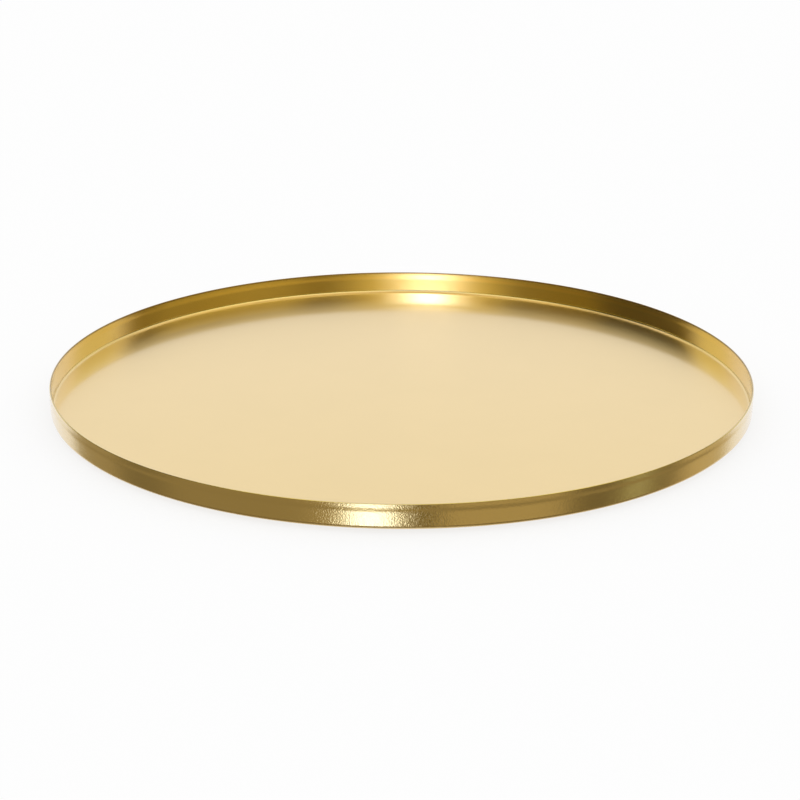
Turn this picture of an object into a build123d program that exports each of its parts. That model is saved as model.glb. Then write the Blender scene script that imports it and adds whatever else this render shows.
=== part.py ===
"""Candle plate: one round plate pressed from thin sheet brass, on four stick-on rubber feet."""
from build123d import *
import os
from math import cos, dist, radians, sin

# Driving dimensions, in millimetres
PLATE_DIAMETER = 300.0
PLATE_HEIGHT = 10.5
SHEET_THICKNESS = 0.6
CORNER_INSIDE_RADIUS = 1.2
LIP_HEIGHT = 1.25
LIP_SET_IN = 0.12
LIP_STEP_HEIGHT = 2.6
FOOT_DIAMETER = 14.0
FOOT_HEIGHT = 1.5
FOOT_EDGE_RADIUS = 0.4
FOOT_CIRCLE_DIAMETER = 220.0
ADHESIVE_THICKNESS = 0.15
ADHESIVE_MARGIN = 0.5

# How far the wall leans outward from the upright, in degrees
WALL_LEAN = 1.5

# The feet and where they stand, in degrees round the axis from +X, with the front toward -Y
FOOT_PLACES = {
    "back_right": 45.0,
    "back_left": 135.0,
    "front_left": 225.0,
    "front_right": 315.0,
}

# Derived levels
ADHESIVE_LEVEL = FOOT_HEIGHT
PLATE_LEVEL = ADHESIVE_LEVEL + ADHESIVE_THICKNESS
FLOOR_LEVEL = PLATE_LEVEL + SHEET_THICKNESS
EDGE_LEVEL = PLATE_LEVEL + PLATE_HEIGHT
EDGE_ROUND_LEVEL = EDGE_LEVEL - SHEET_THICKNESS / 2

# The lip stands a little further in than the wall. Two equal bends join them, with their corners a quarter
# of the step's height from its ends
STEP_HIGH_CORNER = EDGE_LEVEL - LIP_HEIGHT - LIP_STEP_HEIGHT / 4
STEP_LOW_CORNER = STEP_HIGH_CORNER - LIP_STEP_HEIGHT / 2

# The leaning wall and the bend below it
LEAN = radians(WALL_LEAN)
UP_THE_WALL = (sin(LEAN), cos(LEAN))
PLATE_RADIUS = PLATE_DIAMETER / 2
INNER_RADIUS = PLATE_RADIUS - SHEET_THICKNESS / cos(LEAN)
CORNER_OUTSIDE_RADIUS = CORNER_INSIDE_RADIUS + SHEET_THICKNESS
CORNER_CENTRE_LEVEL = FLOOR_LEVEL + CORNER_INSIDE_RADIUS
LEAN_REACH = (STEP_LOW_CORNER - CORNER_CENTRE_LEVEL) * sin(LEAN)
CORNER_CENTRE_RADIUS = PLATE_RADIUS - (CORNER_OUTSIDE_RADIUS + LEAN_REACH) / cos(LEAN)


def corner_point(radius, angle):
    """A point of the bend between floor and wall, by its angle below the level."""
    turn = radians(angle)
    return (CORNER_CENTRE_RADIUS + radius * cos(turn), CORNER_CENTRE_LEVEL - radius * sin(turn))


def bend(radius):
    """The bend between floor and wall, on the sheet's outer or inner face."""
    middle = (90 + WALL_LEAN) / 2
    return ThreePointArc(corner_point(radius, 90), corner_point(radius, middle), corner_point(radius, WALL_LEAN))


def wall(bend_radius, wall_radius):
    """One face of the wall, from the bend over the step up to the rounded edge."""
    low = (wall_radius, STEP_LOW_CORNER)
    high = (wall_radius - LIP_SET_IN, STEP_HIGH_CORNER)
    reach = dist(low, high) / 2
    up_the_step = (high[0] - low[0], high[1] - low[1])
    step_start = (low[0] - reach * UP_THE_WALL[0], low[1] - reach * UP_THE_WALL[1])
    step_middle = ((low[0] + high[0]) / 2, (low[1] + high[1]) / 2)
    step_end = (high[0], high[1] + reach)
    return [
        Line(corner_point(bend_radius, WALL_LEAN), step_start),
        TangentArc(step_start, step_middle, tangent=UP_THE_WALL),
        TangentArc(step_middle, step_end, tangent=up_the_step),
        Line(step_end, (high[0], EDGE_ROUND_LEVEL)),
    ]


def rounded_edge():
    """The sheet's rounded edge along the top of the lip."""
    outer_radius = PLATE_RADIUS - LIP_SET_IN
    inner_radius = INNER_RADIUS - LIP_SET_IN
    return ThreePointArc(
        (outer_radius, EDGE_ROUND_LEVEL),
        ((outer_radius + inner_radius) / 2, EDGE_LEVEL),
        (inner_radius, EDGE_ROUND_LEVEL),
    )


def plate_section():
    """Half of the plate cut through its axis, drawn with the radius along X."""
    underside_centre = (0, PLATE_LEVEL)
    floor_centre = (0, FLOOR_LEVEL)
    outline = [
        Line(underside_centre, corner_point(CORNER_OUTSIDE_RADIUS, 90)),
        bend(CORNER_OUTSIDE_RADIUS),
        *wall(CORNER_OUTSIDE_RADIUS, PLATE_RADIUS),
        rounded_edge(),
        *wall(CORNER_INSIDE_RADIUS, INNER_RADIUS),
        bend(CORNER_INSIDE_RADIUS),
        Line(corner_point(CORNER_INSIDE_RADIUS, 90), floor_centre),
        Line(floor_centre, underside_centre),
    ]
    return Plane.XZ * make_face(outline)


def make_plate():
    """The plate: floor, bend, wall and lip are one pressed sheet."""
    return revolve(plate_section(), Axis.Z)


def make_foot():
    """One moulded foot, with its lower edge rounded, standing on the level z = 0."""
    disc = extrude(Circle(FOOT_DIAMETER / 2), FOOT_HEIGHT)
    lower_edge = disc.edges().sort_by(Axis.Z)[0]
    return fillet(lower_edge, FOOT_EDGE_RADIUS)


def make_adhesive():
    """The double-sided adhesive disc that holds one foot under the plate."""
    disc = extrude(Circle(FOOT_DIAMETER / 2 - ADHESIVE_MARGIN), ADHESIVE_THICKNESS)
    return Pos(0, 0, ADHESIVE_LEVEL) * disc


def foot_place(angle):
    """Where a foot sits on the foot circle."""
    turn = radians(angle)
    radius = FOOT_CIRCLE_DIAMETER / 2
    return Pos(radius * cos(turn), radius * sin(turn), 0)


def save(solid, node):
    """Write one node's STEP file."""
    export_step(solid, f"parts/{node}.step")


os.makedirs("parts", exist_ok=True)
save(make_plate(), "plate")
for place, angle in FOOT_PLACES.items():
    save(foot_place(angle) * make_foot(), f"foot_{place}")
    save(foot_place(angle) * make_adhesive(), f"adhesive_{place}")
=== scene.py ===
"""Looks of the candle plate: a satin brass plate on stick-on rubber feet, in a soft white studio."""
from math import atan2, cos, hypot, radians, sin, tan

import bpy
from mathutils import Matrix, Vector


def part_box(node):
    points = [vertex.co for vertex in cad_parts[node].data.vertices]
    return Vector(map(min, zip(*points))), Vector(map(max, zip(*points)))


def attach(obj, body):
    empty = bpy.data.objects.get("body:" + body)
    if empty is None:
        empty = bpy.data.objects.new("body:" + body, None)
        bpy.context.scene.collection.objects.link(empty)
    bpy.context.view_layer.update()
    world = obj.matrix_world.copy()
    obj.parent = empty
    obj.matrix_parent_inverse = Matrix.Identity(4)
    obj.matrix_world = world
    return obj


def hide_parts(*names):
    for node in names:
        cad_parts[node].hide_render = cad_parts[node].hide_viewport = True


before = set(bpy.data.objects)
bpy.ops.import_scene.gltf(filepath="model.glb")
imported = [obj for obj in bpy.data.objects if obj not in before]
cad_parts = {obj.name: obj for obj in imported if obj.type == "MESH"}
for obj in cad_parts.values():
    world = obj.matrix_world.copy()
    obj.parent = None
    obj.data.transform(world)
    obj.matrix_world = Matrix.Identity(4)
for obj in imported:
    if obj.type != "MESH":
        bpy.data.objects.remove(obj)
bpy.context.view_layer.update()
MM = 0.001

# Sizes of the pressed sheet
SHEET = 0.6 * MM
INSIDE_BEND = 1.2 * MM
LIP_HEIGHT = 1.25 * MM
LIP_SET_IN = 0.12 * MM
LIP_STEP_HEIGHT = 2.6 * MM
WALL_LEAN = radians(1.5)

# Sizes of the feet, and of their adhesive, which is cut square
FOOT_PLACES = ["front_left", "front_right", "back_left", "back_right"]
FOOT_LOWER_ROUND = 0.4 * MM
FOOT_UPPER_ROUND = 0.15 * MM
ADHESIVE_ROUND = 0.0

# Mesh density
PLATE_TURN_POINTS = 384
FOOT_TURN_POINTS = 64
BEND_POINTS = 10
RING_WIDTH = 12.0 * MM
MERGE_DISTANCE = 0.001 * MM

# Camera, fitted to the two rim ellipses
CAMERA_LENS = 99.3
CAMERA_SENSOR = 36.0
CAMERA_DISTANCE = 951.0 * MM
CAMERA_ELEVATION = radians(19.31)
CAMERA_TILT = radians(-0.455)
CAMERA_PAN = radians(0.04)
CAMERA_ROLL = radians(0.17)

# Finish of the brass, whose satin floor turns into the burnished wall between two levels
SATIN_LEVEL = 2.4 * MM
BURNISHED_LEVEL = 3.6 * MM
FLOOR_COLOUR = "#E8CA82"
CLOUD_COLOUR = "#EED08A"
WALL_COLOUR = "#ECD28C"
FLOOR_ROUGHNESS = 0.33
WALL_ROUGHNESS = 0.11
LACQUER_ROUGHNESS = 0.12

# Faint clouds in the lacquer, about as wide as a hand's touch
CLOUD_SIZE = 45.0 * MM
CLOUD_DETAIL = 4.0
CLOUD_BREAKUP = 0.6
CLOUD_ROUGHNESS = 0.03

# The sheet's two faces are told apart by their distance inward from the wall's outer radius
INNER_FACE = 0.55 * MM
OUTER_FACE = 0.25 * MM

# Grain of the stretched outer face, drawn about twice as coarse as real so that it shows at this distance
GRAIN_SIZE = 0.6 * MM
GRAIN_DEPTH = 0.06 * MM
GRAIN_DETAIL = 4.0
INSIDE_GRAIN = 0.02

# The darker, duller band along the top of the lip: how far it reaches down the inner face, and where it is
# full
EDGE_REACH = 1.0 * MM
EDGE_FULL = 0.15 * MM
EDGE_COLOUR = "#8A6C34"
EDGE_ROUGHNESS = 0.35

# Finish of the rubber
ETCHING_SIZE = 0.3 * MM
ETCHING_DEPTH = 0.02 * MM
ETCHING_DETAIL = 3.0
RUBBER_DARKER = "#202023"
RUBBER_PALER = "#2E2E32"
RUBBER_SMOOTHER = 0.62
RUBBER_ROUGHER = 0.8

# Finish of the adhesive foam
FOAM_CELL = 0.12 * MM
FOAM_DEPTH = 0.01 * MM
FOAM_DARKER = "#C9C4B8"
FOAM_PALER = "#E2DED4"
FOAM_SMOOTHER = 0.6
FOAM_ROUGHER = 0.75

# Pale floor and white surroundings. A light of strength 1 is seen as written
FLOOR_SIZE = 12.0
FLOOR_PAINT = "#F8F8F8"
FLOOR_WHITE_SHARE = 0.8
WHITE = "#FFFFFF"
WHITE_STRENGTH = 1.0

# Cards: radius and gap in metres, and the step between a card's points in degrees
CARD_RADIUS = 1.6
CARD_GAP = 0.01
CARD_STEP = 1.5

# The most brightness that the softbox has in a first reflection, so that the satin floor doesn't glare from
# behind, and the counts of reflections between which this limit ends
GLARE_LIMIT = 1.3
FIRST_REFLECTION = 1.0
NEXT_REFLECTION = 2.0

# Colours of the studio as the metal sees it
PALE = "#FFFBF7"
CREAM = "#FFFDCE"
BEIGE = "#FFE9B8"
IVORY = "#FFF090"
AMBER = "#FFE03F"
DAYLIGHT = "#D2DDFF"
SKY = "#AABCFF"

# Cards that show only in reflections, farthest first: two azimuths from the camera's side and two
# elevations, in degrees from the plate's middle, then brightness, colour and the fade of the sides,
# in degrees
CARDS = [
    ("table", -180, 180, -80, 0, 0.93, PALE, 0),
    ("ceiling", -115, 115, 36, 62, 1.3, CREAM, 4),
    ("left_side", -150, -124, 0, 40, 0.9, CREAM, 9),
    ("right_side", 120, 150, 0, 40, 0.82, CREAM, 9),
    ("upper_room", -124, 115, 0, 36, 0.09, AMBER, 8),
    ("upper_right_fill", 40, 64, 0, 36, 0.14, IVORY, 6),
    ("upper_right_flag", 77, 100, 0, 40, 0.03, AMBER, 7),
    ("upper_right_high", 38, 98, 25, 36, 0.38, IVORY, 8),
    ("upper_right_band", 38, 98, 17, 25, 0.5, IVORY, 8),
    ("upper_right_front", 0, 26, 0, 36, 0.2, IVORY, 5),
    ("upper_left_front", -46, -24, 0, 36, 0.1, IVORY, 5),
    ("upper_left_room", -80, -46, 0, 45, 0.14, AMBER, 6),
    ("upper_left_flag", -118, -77, 0, 55, 0.005, AMBER, 6),
    ("upper_horizon", -122, 113, 0, 7, 0.5, IVORY, 6),
    ("softbox_glow", -36, 16, 7, 36, 0.66, IVORY, 10),
    ("softbox_foot", -20, 0, 2, 8, 5.5, DAYLIGHT, 6),
    ("softbox_top", -22, 2, 42, 62, 3.5, DAYLIGHT, 7),
    ("softbox", -23, 3, 16, 42, 3.4, DAYLIGHT, 8),
    ("softbox_core", -15, -5, 21, 42, 15.0, SKY, 6),
    ("lower_room", -110, 110, -80, 0, 0.3, BEIGE, 4),
    ("lower_left_end", -124, -97, -80, 0, 0.36, BEIGE, 5),
    ("lower_left_flag", -97, -76, -80, 0, 0.215, BEIGE, 6),
    ("lower_right_fill", 10, 52, -80, 0, 0.44, BEIGE, 4),
    ("lower_right_gap", 52, 71, -80, 0, 0.18, BEIGE, 4),
    ("lower_right_ridge", 73, 81, -80, 0, 0.45, CREAM, 4),
    ("lower_right_flag", 82, 92, -80, 0, 0.21, BEIGE, 4),
    ("lower_right_end", 97, 124, -80, 0, 0.55, BEIGE, 6),
    ("lower_stripe", 5, 9.5, -80, 0, 0.08, BEIGE, 2),
    ("lower_horizon", -110, 110, -16, 0, 0.29, BEIGE, 4),
    ("lower_gap", -110, 110, -58, -33, 0.22, BEIGE, 4),
    ("reflector_glow", -27, -1, -33, -16, 0.38, BEIGE, 5),
    ("reflector_top", -14, -4, -16, -6, 0.85, PALE, 3),
    ("reflector", -15.5, -2.5, -33, -16, 3.6, DAYLIGHT, 2.5),
    ("reflector_foot", -15.5, -2.5, -75, -58, 1.0, DAYLIGHT, 3),
]

# A Mix node's colour sockets, by number, because its sockets for other types have the same names
MIX_A = 6
MIX_B = 7
MIX_RESULT = 2


def add(tree, kind, inputs=None, **settings):
    """Adds one node. Settings are its properties; inputs are values, or the sockets that link to it."""
    node = tree.nodes.new(kind)
    for name, value in settings.items():
        setattr(node, name, value)
    for socket, value in (inputs or {}).items():
        if isinstance(value, bpy.types.NodeSocket):
            tree.links.new(value, node.inputs[socket])
        else:
            node.inputs[socket].default_value = value
    return node


def colour(code):
    """Turns an sRGB hex colour into the linear colour that a shader takes."""
    channels = [int(code[start:start + 2], 16) / 255 for start in (1, 3, 5)]
    linear = [c / 12.92 if c <= 0.04045 else ((c + 0.055) / 1.055) ** 2.4 for c in channels]
    return (*linear, 1.0)


# Turned pieces: the corners of each section, by radius, level and rounding

PLATE_CORNERS = [
    ("Axis", "Underside", "Sharp"),
    ("Bend outside", "Underside", "Outside bend"),
    ("Wall outside", "Step low", "Low step round"),
    ("Lip outside", "Step high", "High step round"),
    ("Lip outside", "Edge", "Edge round"),
    ("Lip inside", "Edge", "Edge round"),
    ("Lip inside", "Step high", "High step round"),
    ("Wall inside", "Step low", "Low step round"),
    ("Bend inside", "Floor", "Inside bend"),
    ("Axis", "Floor", "Sharp"),
]
DISC_CORNERS = [
    ("Axis", "Bottom", "Sharp"),
    ("Side", "Bottom", "Lower round"),
    ("Side", "Top", "Upper round"),
    ("Axis", "Top", "Sharp"),
]


def turned_tree(name, corners, sizes):
    """A tree that turns a section, given by its corners, round the upright axis of every point it gets."""
    tree = bpy.data.node_groups.new(name, "GeometryNodeTree")
    sockets = tree.interface
    sockets.new_socket("Places", in_out="INPUT", socket_type="NodeSocketGeometry")
    for size in sizes:
        sockets.new_socket(size, in_out="INPUT", socket_type="NodeSocketFloat")
    for count in ("Turn points", "Bend points"):
        sockets.new_socket(count, in_out="INPUT", socket_type="NodeSocketInt")
    sockets.new_socket("Material", in_out="INPUT", socket_type="NodeSocketMaterial")
    sockets.new_socket("Piece", in_out="OUTPUT", socket_type="NodeSocketGeometry")
    given = add(tree, "NodeGroupInput").outputs

    # The section's corners, each with its place and its rounding
    index = add(tree, "GeometryNodeInputIndex").outputs[0]
    place = add(tree, "GeometryNodeIndexSwitch", {"Index": index}, data_type="VECTOR")
    rounding = add(tree, "GeometryNodeIndexSwitch", {"Index": index}, data_type="FLOAT")
    for number, (radius, level, rounded) in enumerate(corners):
        if number >= len(place.index_switch_items):
            place.index_switch_items.new()
            rounding.index_switch_items.new()
        corner = add(tree, "ShaderNodeCombineXYZ", {"X": given[radius], "Y": given[level]})
        tree.links.new(corner.outputs[0], place.inputs[1 + number])
        tree.links.new(given[rounded], rounding.inputs[1 + number])
    points = add(tree, "GeometryNodePoints", {"Count": len(corners), "Position": place.outputs[0]})
    outline = add(tree, "GeometryNodePointsToCurves", {"Points": points.outputs[0]})
    rounded_outline = add(tree, "GeometryNodeFilletCurve", {
        "Curve": outline.outputs[0],
        "Count": given["Bend points"],
        "Radius": rounding.outputs[0],
        "Limit Radius": True,
    }, mode="POLY")

    # Long stretches are cut into rings
    position = add(tree, "GeometryNodeInputPosition").outputs[0]
    next_index = add(tree, "ShaderNodeMath", {0: index, 1: 1.0}, operation="ADD").outputs[0]
    next_place = add(tree, "GeometryNodeFieldAtIndex", {
        "Index": next_index,
        "Value": position,
    }, data_type="FLOAT_VECTOR", domain="POINT")
    stretch = add(tree, "ShaderNodeVectorMath", {
        0: position,
        1: next_place.outputs[0],
    }, operation="DISTANCE")
    cuts = add(tree, "ShaderNodeMath", {
        0: stretch.outputs["Value"],
        1: given["Ring width"],
    }, operation="DIVIDE")
    ringed = add(tree, "GeometryNodeSubdivideCurve", {
        "Curve": rounded_outline.outputs[0],
        "Cuts": cuts.outputs[0],
    })

    # The section is turned along a circle, which carries it upside down, so it is mirrored first
    turn_radius = given["Turn radius"]
    inward = add(tree, "ShaderNodeVectorMath", {
        0: (-1.0, 0.0, 0.0),
        "Scale": turn_radius,
    }, operation="SCALE")
    section = add(tree, "GeometryNodeTransform", {
        "Geometry": ringed.outputs[0],
        "Translation": inward.outputs[0],
        "Scale": (1.0, -1.0, 1.0),
    })
    circle = add(tree, "GeometryNodeCurvePrimitiveCircle", {
        "Resolution": given["Turn points"],
        "Radius": turn_radius,
    })
    turned = add(tree, "GeometryNodeCurveToMesh", {
        "Curve": circle.outputs[0],
        "Profile Curve": section.outputs[0],
    })
    closed = add(tree, "GeometryNodeMergeByDistance", {
        "Geometry": turned.outputs[0],
        "Distance": MERGE_DISTANCE,
    })
    smooth = add(tree, "GeometryNodeSetShadeSmooth", {"Geometry": closed.outputs[0]})
    placed = add(tree, "GeometryNodeInstanceOnPoints", {
        "Points": given["Places"],
        "Instance": smooth.outputs[0],
    })
    real = add(tree, "GeometryNodeRealizeInstances", {"Geometry": placed.outputs[0]})
    finished = add(tree, "GeometryNodeSetMaterial", {
        "Geometry": real.outputs[0],
        "Material": given["Material"],
    })
    add(tree, "NodeGroupOutput", {"Piece": finished.outputs[0]})
    return tree


def turned_piece(name, corners, sizes, turn_points, places, material):
    """Makes a piece by turning its section at each place, as a plain mesh with evenly shaded faces."""
    points = bpy.data.meshes.new(name)
    points.from_pydata(places, [], [])
    piece = bpy.data.objects.new(name, points)
    bpy.context.scene.collection.objects.link(piece)
    tree = turned_tree(name + "_turning", corners, sizes)
    values = {**sizes, "Turn points": turn_points, "Bend points": BEND_POINTS, "Material": material}
    turning = piece.modifiers.new("turning", "NODES")
    turning.node_group = tree
    for socket in tree.interface.items_tree:
        if socket.name in values:
            turning[socket.identifier] = values[socket.name]
    piece.modifiers.new("even_shading", "WEIGHTED_NORMAL")
    evaluated = piece.evaluated_get(bpy.context.evaluated_depsgraph_get())
    mesh = bpy.data.meshes.new_from_object(evaluated)
    piece.modifiers.clear()
    piece.data = mesh
    bpy.data.meshes.remove(points)
    return piece


def make_plate():
    """The plate: floor, bend, leaning wall, step and lip turned as one sheet."""
    low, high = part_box("plate")
    wall_outside = min(high.x, high.y, -low.x, -low.y)
    wall_inside = wall_outside - SHEET
    floor = low.z + SHEET
    edge = high.z

    # The step is two arcs that meet in its middle. Their corners lie a quarter of its height from its ends
    step_high = edge - LIP_HEIGHT - LIP_STEP_HEIGHT / 4
    step_low = step_high - LIP_STEP_HEIGHT / 2
    step_lean = atan2(LIP_SET_IN, LIP_STEP_HEIGHT / 2)
    step_reach = hypot(LIP_SET_IN, LIP_STEP_HEIGHT / 2) / 2

    sizes = {
        "Axis": 0.0,
        "Sharp": 0.0,
        "Bend outside": wall_outside - (step_low - low.z) * tan(WALL_LEAN),
        "Bend inside": wall_inside - (step_low - floor) * tan(WALL_LEAN),
        "Wall outside": wall_outside,
        "Wall inside": wall_inside,
        "Lip outside": wall_outside - LIP_SET_IN,
        "Lip inside": wall_inside - LIP_SET_IN,
        "Underside": low.z,
        "Floor": floor,
        "Step low": step_low,
        "Step high": step_high,
        "Edge": edge,
        "Outside bend": INSIDE_BEND + SHEET,
        "Inside bend": INSIDE_BEND,
        "Low step round": step_reach / tan((WALL_LEAN + step_lean) / 2),
        "High step round": step_reach / tan(step_lean / 2),
        "Edge round": SHEET / 2,
        "Ring width": RING_WIDTH,
        "Turn radius": wall_outside,
    }
    material = satin_brass(wall_outside, edge)
    plate = turned_piece("satin_plate", PLATE_CORNERS, sizes, PLATE_TURN_POINTS, [(0, 0, 0)], material)
    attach(plate, "root")
    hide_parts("plate")


def make_discs(name, nodes, lower_round, upper_round, material):
    """A set of equal discs, one in the place of each node."""
    boxes = [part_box(node) for node in nodes]
    low, high = boxes[0]
    radius = (high.x - low.x) / 2
    sizes = {
        "Axis": 0.0,
        "Sharp": 0.0,
        "Side": radius,
        "Bottom": low.z,
        "Top": high.z,
        "Lower round": lower_round,
        "Upper round": upper_round,
        "Ring width": RING_WIDTH,
        "Turn radius": radius,
    }
    middles = [(corner + opposite) / 2 for corner, opposite in boxes]
    places = [(middle.x, middle.y, 0) for middle in middles]
    discs = turned_piece(name, DISC_CORNERS, sizes, FOOT_TURN_POINTS, places, material)
    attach(discs, "root")
    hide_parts(*nodes)


# Materials

def empty_material(name):
    """A material without nodes, with its tree."""
    material = bpy.data.materials.new(name)
    material.use_nodes = True
    tree = material.node_tree
    tree.nodes.clear()
    return material, tree


def shaded_material(name):
    """A material with only a Principled shader, with its tree and that shader."""
    material, tree = empty_material(name)
    shader = add(tree, "ShaderNodeBsdfPrincipled")
    add(tree, "ShaderNodeOutputMaterial", {"Surface": shader.outputs[0]})
    return material, tree, shader


def satin_brass(wall_radius, edge_level):
    """Rolled sheet brass, pressed, satin finished and lacquered.

    The flat floor is an even satin that blurs what it reflects and looks cream at a low angle, where
    the clear lacquer shines. The press has burnished the wall, so it is smoother. Its outer face was
    stretched, and a fine grain breaks up the edges of the highlights there. On the inner face of the
    lip, a band along the top is darker in colour and duller.
    """
    material, tree, shader = shaded_material("satin_lacquered_brass")
    place = add(tree, "ShaderNodeTexCoord").outputs["Object"]
    level = add(tree, "ShaderNodeSeparateXYZ", {"Vector": place}).outputs["Z"]
    burnished = add(tree, "ShaderNodeMapRange", {
        "Value": level,
        "From Min": SATIN_LEVEL,
        "From Max": BURNISHED_LEVEL,
    }, interpolation_type="SMOOTHSTEP").outputs["Result"]
    level_place = add(tree, "ShaderNodeVectorMath", {
        0: place,
        1: (1.0, 1.0, 0.0),
    }, operation="MULTIPLY").outputs[0]
    from_axis = add(tree, "ShaderNodeVectorMath", {0: level_place}, operation="LENGTH").outputs["Value"]
    outer_face = add(tree, "ShaderNodeMapRange", {
        "Value": from_axis,
        "From Min": wall_radius - INNER_FACE,
        "From Max": wall_radius - OUTER_FACE,
    }).outputs["Result"]
    inner_face = add(tree, "ShaderNodeMath", {0: 1.0, 1: outer_face}, operation="SUBTRACT").outputs[0]
    # A darker, duller band along the top of the lip's inner face
    darker_top = add(tree, "ShaderNodeMapRange", {
        "Value": level,
        "From Min": edge_level - EDGE_REACH,
        "From Max": edge_level - EDGE_FULL,
        "To Max": inner_face,
    }).outputs["Result"]

    # Colour: faint clouds over the floor, then the wall, then the edge
    clouds = add(tree, "ShaderNodeTexNoise", {
        "Vector": place,
        "Scale": 1 / CLOUD_SIZE,
        "Detail": CLOUD_DETAIL,
        "Roughness": CLOUD_BREAKUP,
    }).outputs[0]
    floor_colour = add(tree, "ShaderNodeMix", {
        0: clouds,
        MIX_A: colour(FLOOR_COLOUR),
        MIX_B: colour(CLOUD_COLOUR),
    }, data_type="RGBA").outputs[MIX_RESULT]
    wall_colour = add(tree, "ShaderNodeMix", {
        0: burnished,
        MIX_A: floor_colour,
        MIX_B: colour(WALL_COLOUR),
    }, data_type="RGBA").outputs[MIX_RESULT]
    sheet_colour = add(tree, "ShaderNodeMix", {
        0: darker_top,
        MIX_A: wall_colour,
        MIX_B: colour(EDGE_COLOUR),
    }, data_type="RGBA").outputs[MIX_RESULT]

    # Roughness: the satin of the floor gives way to the burnished wall, and the edge is dull
    finish = add(tree, "ShaderNodeMapRange", {
        "Value": burnished,
        "To Min": FLOOR_ROUGHNESS,
        "To Max": WALL_ROUGHNESS,
    }).outputs["Result"]
    clouded = add(tree, "ShaderNodeMath", {
        0: clouds,
        1: CLOUD_ROUGHNESS,
        2: finish,
    }, operation="MULTIPLY_ADD").outputs[0]
    roughness = add(tree, "ShaderNodeMapRange", {
        "Value": darker_top,
        "To Min": clouded,
        "To Max": EDGE_ROUGHNESS,
    }).outputs["Result"]

    # Fine grain on the outer face
    grain_share = add(tree, "ShaderNodeMapRange", {
        "Value": outer_face,
        "To Min": INSIDE_GRAIN,
    }).outputs["Result"]
    grain = add(tree, "ShaderNodeTexNoise", {
        "Vector": place,
        "Scale": 1 / GRAIN_SIZE,
        "Detail": GRAIN_DETAIL,
    }).outputs[0]
    bump = add(tree, "ShaderNodeBump", {
        "Height": grain,
        "Distance": GRAIN_DEPTH,
        "Strength": grain_share,
    }).outputs[0]

    tree.links.new(sheet_colour, shader.inputs["Base Color"])
    tree.links.new(roughness, shader.inputs["Roughness"])
    tree.links.new(bump, shader.inputs["Normal"])
    shader.inputs["Metallic"].default_value = 1.0
    shader.inputs["Coat Weight"].default_value = 1.0
    shader.inputs["Coat Roughness"].default_value = LACQUER_ROUGHNESS
    return material


def moulded_rubber():
    """Moulded black rubber: matt and very dark, with the fine sparkle of an etched mould."""
    material, tree, shader = shaded_material("moulded_rubber")
    place = add(tree, "ShaderNodeTexCoord").outputs["Object"]
    etching = add(tree, "ShaderNodeTexNoise", {
        "Vector": place,
        "Scale": 1 / ETCHING_SIZE,
        "Detail": ETCHING_DETAIL,
    }).outputs[0]
    rubber_colour = add(tree, "ShaderNodeMix", {
        0: etching,
        MIX_A: colour(RUBBER_DARKER),
        MIX_B: colour(RUBBER_PALER),
    }, data_type="RGBA").outputs[MIX_RESULT]
    roughness = add(tree, "ShaderNodeMapRange", {
        "Value": etching,
        "To Min": RUBBER_SMOOTHER,
        "To Max": RUBBER_ROUGHER,
    }).outputs["Result"]
    bump = add(tree, "ShaderNodeBump", {"Height": etching, "Distance": ETCHING_DEPTH}).outputs[0]
    tree.links.new(rubber_colour, shader.inputs["Base Color"])
    tree.links.new(roughness, shader.inputs["Roughness"])
    tree.links.new(bump, shader.inputs["Normal"])
    return material


def adhesive_foam():
    """Die-cut white foam film: matt, slightly warm, with open cells along its cut edge."""
    material, tree, shader = shaded_material("die_cut_adhesive_foam")
    place = add(tree, "ShaderNodeTexCoord").outputs["Object"]
    cells = add(tree, "ShaderNodeTexVoronoi", {
        "Vector": place,
        "Scale": 1 / FOAM_CELL,
    }).outputs["Distance"]
    foam_colour = add(tree, "ShaderNodeMix", {
        0: cells,
        MIX_A: colour(FOAM_DARKER),
        MIX_B: colour(FOAM_PALER),
    }, data_type="RGBA").outputs[MIX_RESULT]
    roughness = add(tree, "ShaderNodeMapRange", {
        "Value": cells,
        "To Min": FOAM_ROUGHER,
        "To Max": FOAM_SMOOTHER,
    }).outputs["Result"]
    bump = add(tree, "ShaderNodeBump", {"Height": cells, "Distance": FOAM_DEPTH}).outputs[0]
    tree.links.new(foam_colour, shader.inputs["Base Color"])
    tree.links.new(roughness, shader.inputs["Roughness"])
    tree.links.new(bump, shader.inputs["Normal"])
    return material


# Studio

def floor_paint():
    """Pale paint. To the camera it is partly plain white, which keeps the shadow light."""
    material, tree = empty_material("pale_floor")
    paint = add(tree, "ShaderNodeBsdfDiffuse", {"Color": colour(FLOOR_PAINT)}).outputs[0]
    white = add(tree, "ShaderNodeEmission", {"Color": colour(WHITE), "Strength": WHITE_STRENGTH}).outputs[0]
    seen = add(tree, "ShaderNodeLightPath").outputs["Is Camera Ray"]
    share = add(tree, "ShaderNodeMath", {0: seen, 1: FLOOR_WHITE_SHARE}, operation="MULTIPLY").outputs[0]
    surface = add(tree, "ShaderNodeMixShader", {0: share, 1: paint, 2: white}).outputs[0]
    add(tree, "ShaderNodeOutputMaterial", {"Surface": surface})
    return material


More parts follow.
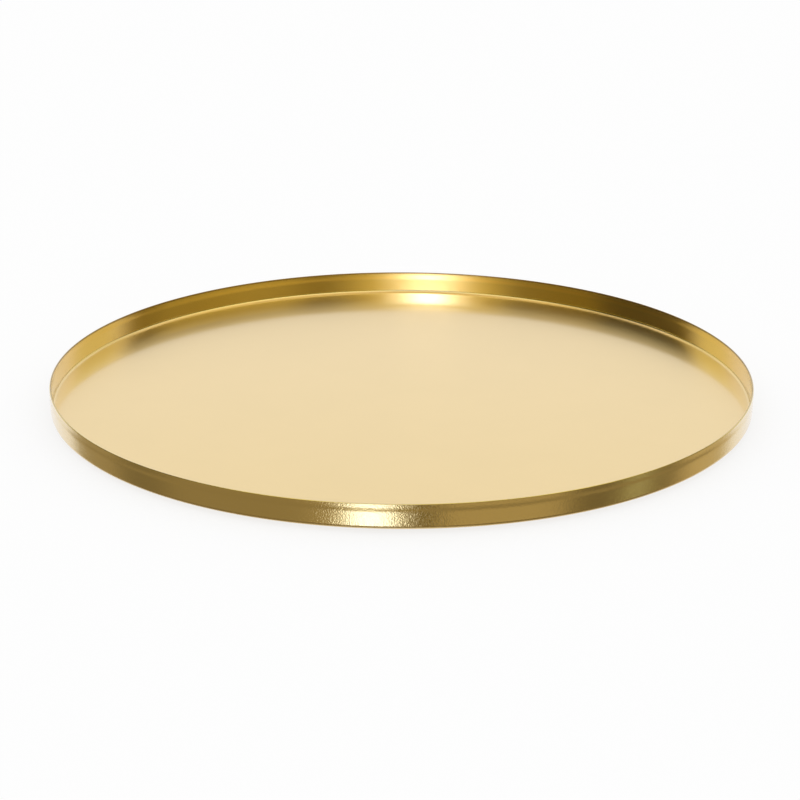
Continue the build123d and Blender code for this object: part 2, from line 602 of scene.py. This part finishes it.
def card_light(name, brightness, held_brightness, code):
    """A card's light, with its own brightness in a first reflection. Where its cover ends, it is clear."""
    material, tree = empty_material(name)
    reflections = add(tree, "ShaderNodeLightPath").outputs["Ray Depth"]
    strength = add(tree, "ShaderNodeMapRange", {
        "Value": reflections,
        "From Min": FIRST_REFLECTION,
        "From Max": NEXT_REFLECTION,
        "To Min": held_brightness,
        "To Max": brightness,
    }).outputs["Result"]
    light = add(tree, "ShaderNodeEmission", {"Color": colour(code), "Strength": strength}).outputs[0]
    clear = add(tree, "ShaderNodeBsdfTransparent").outputs[0]
    cover = add(tree, "ShaderNodeAttribute", attribute_name="cover").outputs["Fac"]
    soft = add(tree, "ShaderNodeMapRange", {
        "Value": cover,
    }, interpolation_type="SMOOTHSTEP").outputs["Result"]
    surface = add(tree, "ShaderNodeMixShader", {0: soft, 1: clear, 2: light}).outputs[0]
    add(tree, "ShaderNodeOutputMaterial", {"Surface": surface})
    return material


def stage_mesh(name, points, faces, material):
    """A stage object from points and faces."""
    mesh = bpy.data.meshes.new(name)
    mesh.from_pydata(points, [], faces)
    mesh.materials.append(material)
    stage_object = bpy.data.objects.new(name, mesh)
    bpy.context.scene.collection.objects.link(stage_object)
    return stage_object


def only_in_reflections(stage_object):
    """Hides the object from everything but reflections."""
    stage_object.visible_camera = False
    stage_object.visible_diffuse = False
    stage_object.visible_transmission = False
    stage_object.visible_volume_scatter = False
    stage_object.visible_shadow = False


def make_floor():
    """The pale floor. The metal looks past it, at the cards."""
    half = FLOOR_SIZE / 2
    corners = [(-half, -half, 0), (half, -half, 0), (half, half, 0), (-half, half, 0)]
    floor = stage_mesh("floor", corners, [(0, 1, 2, 3)], floor_paint())
    floor.visible_glossy = False


def make_card(name, start, end, low, high, material, fade, radius):
    """A curved card between two azimuths and two elevations, whose cover fades toward its sides."""
    first = start - fade
    last = end + fade
    count = round((last - first) / CARD_STEP)
    points = []
    covers = []
    for number in range(count + 1):
        azimuth = first + (last - first) * number / count
        turn = radians(azimuth)
        inside = min(azimuth - first, last - azimuth)
        for elevation in (low, high):
            points.append((radius * sin(turn), -radius * cos(turn), radius * tan(radians(elevation))))
            covers.append(min(1.0, inside / (2 * fade)) if fade else 1.0)
    faces = [(2 * n, 2 * n + 2, 2 * n + 3, 2 * n + 1) for n in range(count)]
    card = stage_mesh(name, points, faces, material)
    card.data.attributes.new("cover", "FLOAT", "POINT").data.foreach_set("value", covers)
    only_in_reflections(card)


def make_cards():
    """The studio that the metal sees: a pale table, a dim room, a softbox and a reflector."""
    for number, (name, start, end, low, high, brightness, code, fade) in enumerate(CARDS):
        held_brightness = min(brightness, GLARE_LIMIT) if name.startswith("softbox") else brightness
        material = card_light(name, brightness, held_brightness, code)
        make_card(name, start, end, low, high, material, fade, CARD_RADIUS - number * CARD_GAP)


def make_world():
    """A plain white surrounding at the strength where white is white."""
    world = bpy.data.worlds.new("white_studio")
    bpy.context.scene.world = world
    world.use_nodes = True
    tree = world.node_tree
    tree.nodes.clear()
    background = add(tree, "ShaderNodeBackground", {"Color": colour(WHITE), "Strength": WHITE_STRENGTH})
    add(tree, "ShaderNodeOutputWorld", {"Surface": background.outputs[0]})


def make_camera():
    """The camera at the photograph's angle, aimed a little below the plate's middle and slightly rolled."""
    low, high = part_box("plate")
    middle = (low + high) / 2
    data = bpy.data.cameras.new("camera")
    data.lens = CAMERA_LENS
    data.sensor_width = CAMERA_SENSOR
    camera = bpy.data.objects.new("camera", data)
    bpy.context.scene.collection.objects.link(camera)
    away = Vector((0.0, -cos(CAMERA_ELEVATION), sin(CAMERA_ELEVATION)))
    place = Matrix.Translation(middle + away * CAMERA_DISTANCE)
    level = (-away).to_track_quat("-Z", "Y").to_matrix().to_4x4()
    pan = Matrix.Rotation(CAMERA_PAN, 4, "Y")
    tilt = Matrix.Rotation(CAMERA_TILT, 4, "X")
    roll = Matrix.Rotation(CAMERA_ROLL, 4, "Z")
    camera.matrix_world = place @ level @ pan @ tilt @ roll
    bpy.context.scene.camera = camera


make_plate()
make_discs("stick_on_feet", ["foot_" + place for place in FOOT_PLACES],
           FOOT_LOWER_ROUND, FOOT_UPPER_ROUND, moulded_rubber())
make_discs("adhesive_discs", ["adhesive_" + place for place in FOOT_PLACES],
           ADHESIVE_ROUND, ADHESIVE_ROUND, adhesive_foam())
make_floor()
make_cards()
make_world()
make_camera()
bpy.context.scene.view_settings.view_transform = "Standard"
